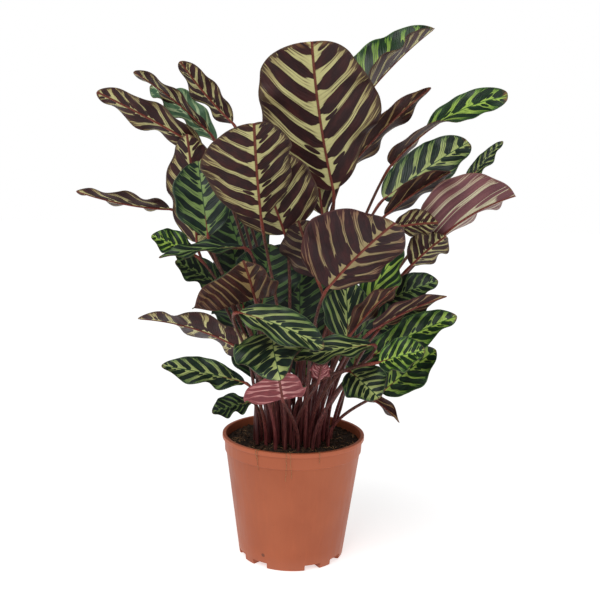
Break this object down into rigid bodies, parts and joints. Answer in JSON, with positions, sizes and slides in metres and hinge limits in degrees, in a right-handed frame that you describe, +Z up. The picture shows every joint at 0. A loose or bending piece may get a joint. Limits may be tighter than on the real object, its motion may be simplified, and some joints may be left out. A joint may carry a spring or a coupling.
{
  "type": "potted peacock plant",
  "caption": "Peacock plant with feather-marked oval leaves, green above and maroon below, on slim maroon stalks in a terracotta-coloured plastic nursery pot.",
  "frame": {"origin": "centre of the pot's flat underside, on the ground", "axes": "+Z up along the pot's axis; the front that the picture shows faces -Y, and +X is to its right"},
  "size_m": [0.4836, 0.3488, 0.6272],
  "materials": {
    "pot": "satin moulded terracotta-coloured plastic",
    "soil": "damp crumbly potting soil with bark and fibres",
    "leaf": "satin leaf, feathered yellow-green and dark green above, pale olive and maroon below"
  },
  "bodies": {
    "root": {"pot": "pot", "soil": "soil", "leaf_01": "leaf", "leaf_02": "leaf", "leaf_03": "leaf", "leaf_04": "leaf", "leaf_05": "leaf", "leaf_06": "leaf", "leaf_07": "leaf", "leaf_08": "leaf", "leaf_09": "leaf", "leaf_10": "leaf", "leaf_11": "leaf", "leaf_12": "leaf", "leaf_13": "leaf", "leaf_14": "leaf", "leaf_15": "leaf", "leaf_16": "leaf", "leaf_17": "leaf", "leaf_18": "leaf", "leaf_19": "leaf", "leaf_20": "leaf", "leaf_21": "leaf", "leaf_22": "leaf", "leaf_23": "leaf", "leaf_24": "leaf", "leaf_25": "leaf", "leaf_26": "leaf", "leaf_27": "leaf", "leaf_28": "leaf", "leaf_29": "leaf", "leaf_30": "leaf", "leaf_31": "leaf", "leaf_32": "leaf", "leaf_33": "leaf", "leaf_34": "leaf", "leaf_35": "leaf", "leaf_36": "leaf", "leaf_37": "leaf", "leaf_38": "leaf", "leaf_39": "leaf", "leaf_40": "leaf", "leaf_41": "leaf", "leaf_42": "leaf", "leaf_43": "leaf", "leaf_44": "leaf", "leaf_45": "leaf", "leaf_46": "leaf", "leaf_47": "leaf", "leaf_48": "leaf", "leaf_49": "leaf", "leaf_50": "leaf", "leaf_51": "leaf", "leaf_52": "leaf", "leaf_53": "leaf", "leaf_54": "leaf", "leaf_55": "leaf", "leaf_56": "leaf", "leaf_57": "leaf"}
  },
  "joints": []
}
